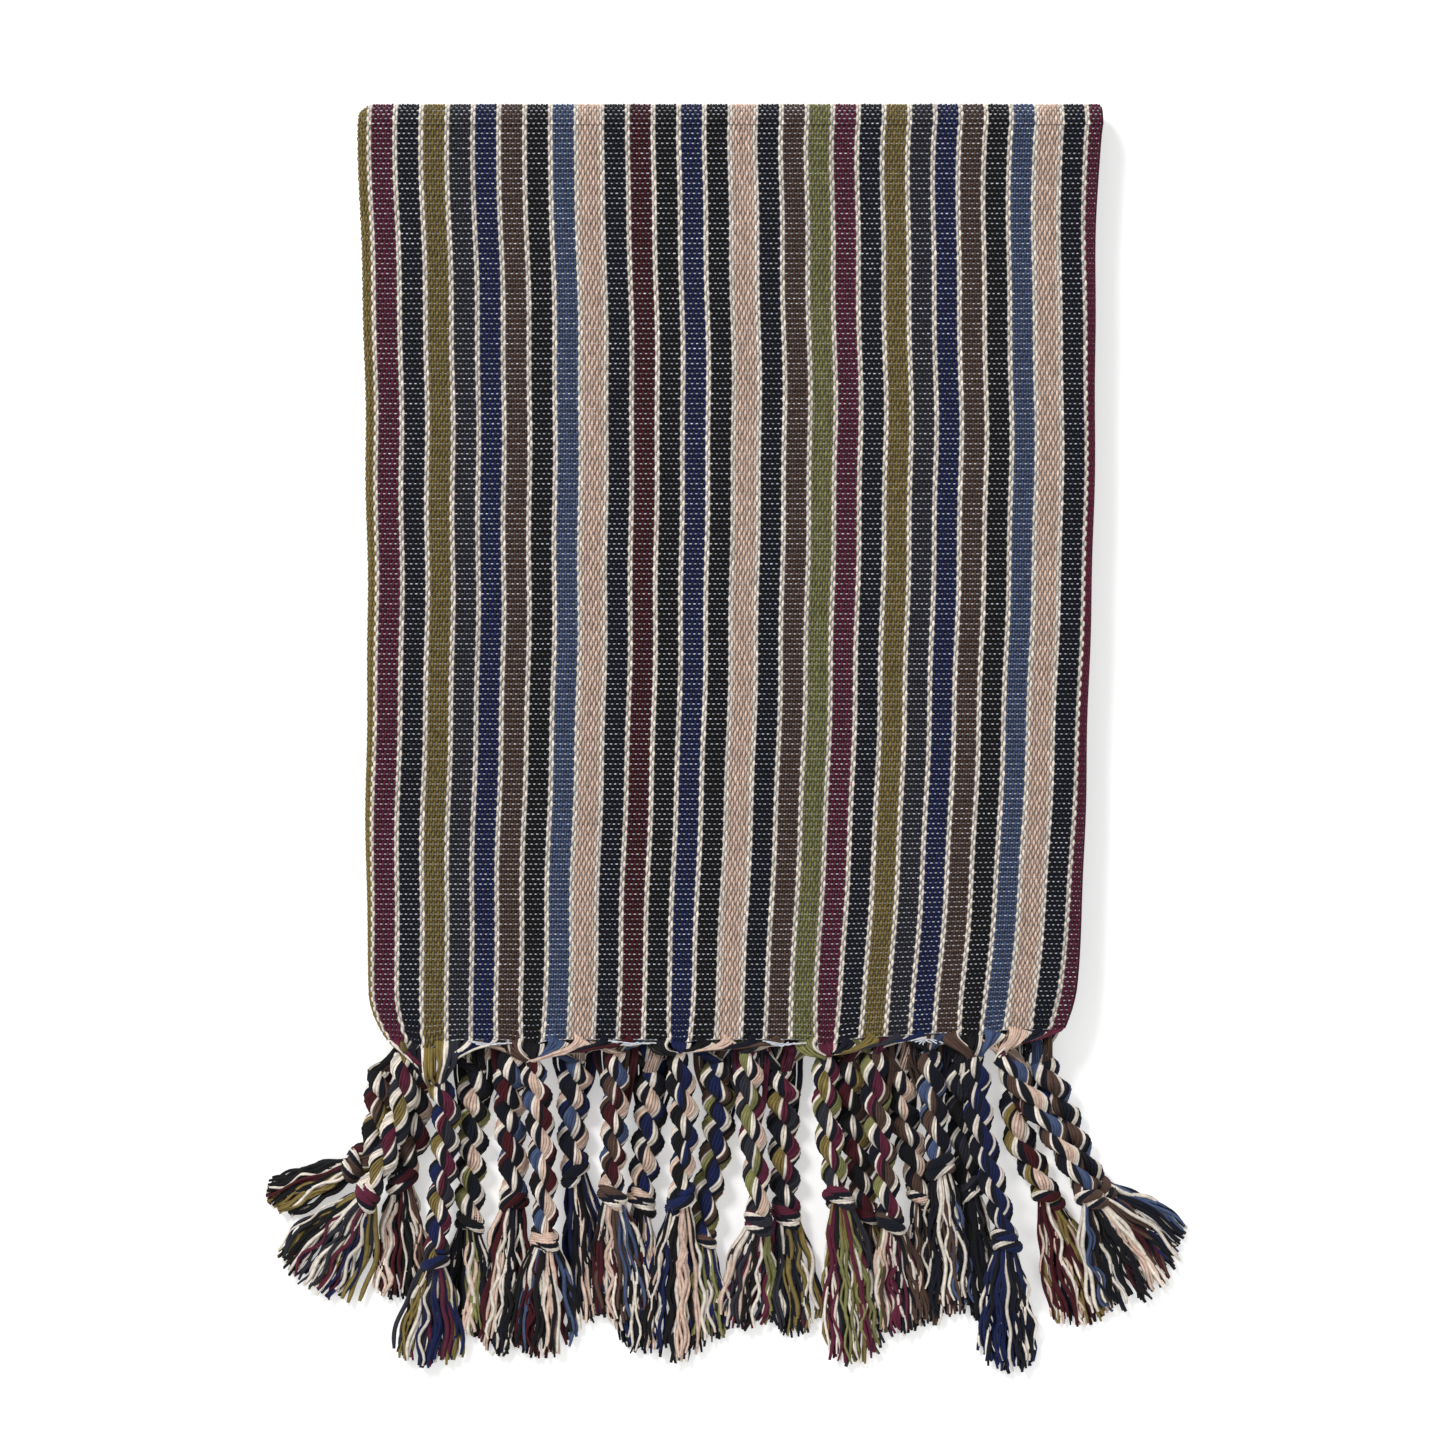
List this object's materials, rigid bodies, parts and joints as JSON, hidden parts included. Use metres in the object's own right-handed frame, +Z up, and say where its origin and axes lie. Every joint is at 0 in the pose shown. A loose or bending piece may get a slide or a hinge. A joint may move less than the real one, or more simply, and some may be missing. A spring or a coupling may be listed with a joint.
{
  "type": "runner rug",
  "caption": "Flat-woven striped cotton runner, folded in half across and in quarters along, with twisted and knotted fringe at both ends; the stack opens at its round fold.",
  "frame": {"origin": "middle of the folded runner's outline, on the surface it lies on", "axes": "+Z up, +Y along the stripes towards the round fold, the fringe at -Y, X across the stripes"},
  "size_m": [0.4623, 0.6379, 0.024],
  "materials": {
    "warp_moss": "matt cotton yarn",
    "warp_plum": "matt cotton yarn",
    "warp_midnight": "matt cotton yarn",
    "warp_olive": "matt cotton yarn",
    "warp_charcoal": "matt cotton yarn",
    "warp_royal": "matt cotton yarn",
    "warp_brown": "matt cotton yarn",
    "warp_black": "matt cotton yarn",
    "warp_steel": "matt cotton yarn",
    "warp_tan": "matt cotton yarn",
    "warp_navy": "matt cotton yarn",
    "warp_oxblood": "matt cotton yarn",
    "warp_cream": "matt cotton yarn",
    "weft": "matt cotton yarn",
    "cord_yarn": "matt cotton yarns of mixed colours"
  },
  "bodies": {
    "lower_leaf": {"lower_moss": "warp_moss", "lower_plum": "warp_plum", "lower_midnight": "warp_midnight", "lower_olive": "warp_olive", "lower_charcoal": "warp_charcoal", "lower_royal": "warp_royal", "lower_brown": "warp_brown", "lower_black": "warp_black", "lower_steel": "warp_steel", "lower_tan": "warp_tan", "lower_navy": "warp_navy", "lower_oxblood": "warp_oxblood", "lower_cream": "warp_cream", "lower_weft": "weft", "lower_side_folds": "warp_moss", "top_fold_outer": "warp_midnight", "top_fold_inner": "warp_navy", "end_fold": "warp_navy"},
    "upper_leaf": {"upper_moss": "warp_moss", "upper_plum": "warp_plum", "upper_midnight": "warp_midnight", "upper_olive": "warp_olive", "upper_charcoal": "warp_charcoal", "upper_royal": "warp_royal", "upper_brown": "warp_brown", "upper_black": "warp_black", "upper_steel": "warp_steel", "upper_tan": "warp_tan", "upper_navy": "warp_navy", "upper_oxblood": "warp_oxblood", "upper_cream": "warp_cream", "upper_weft": "weft", "upper_side_folds": "warp_moss", "cord_1": "cord_yarn", "cord_2": "cord_yarn", "cord_3": "cord_yarn", "cord_4": "cord_yarn", "cord_5": "cord_yarn", "cord_6": "cord_yarn", "cord_7": "cord_yarn", "cord_8": "cord_yarn", "cord_9": "cord_yarn", "cord_10": "cord_yarn", "cord_11": "cord_yarn", "cord_12": "cord_yarn", "cord_13": "cord_yarn", "cord_14": "cord_yarn", "cord_15": "cord_yarn", "cord_16": "cord_yarn", "cord_17": "cord_yarn", "cord_18": "cord_yarn", "cord_19": "cord_yarn", "cord_20": "cord_yarn", "cord_21": "cord_yarn", "cord_22": "cord_yarn", "cord_23": "cord_yarn", "cord_24": "cord_yarn"}
  },
  "joints": [
    {"name": "leaf_opening", "type": "hinge", "parent": "lower_leaf", "child": "upper_leaf", "pos_m": [0, 0.307, 0.012], "axis": [-1, 0, 0], "range_deg": [0, 180]}
  ]
}
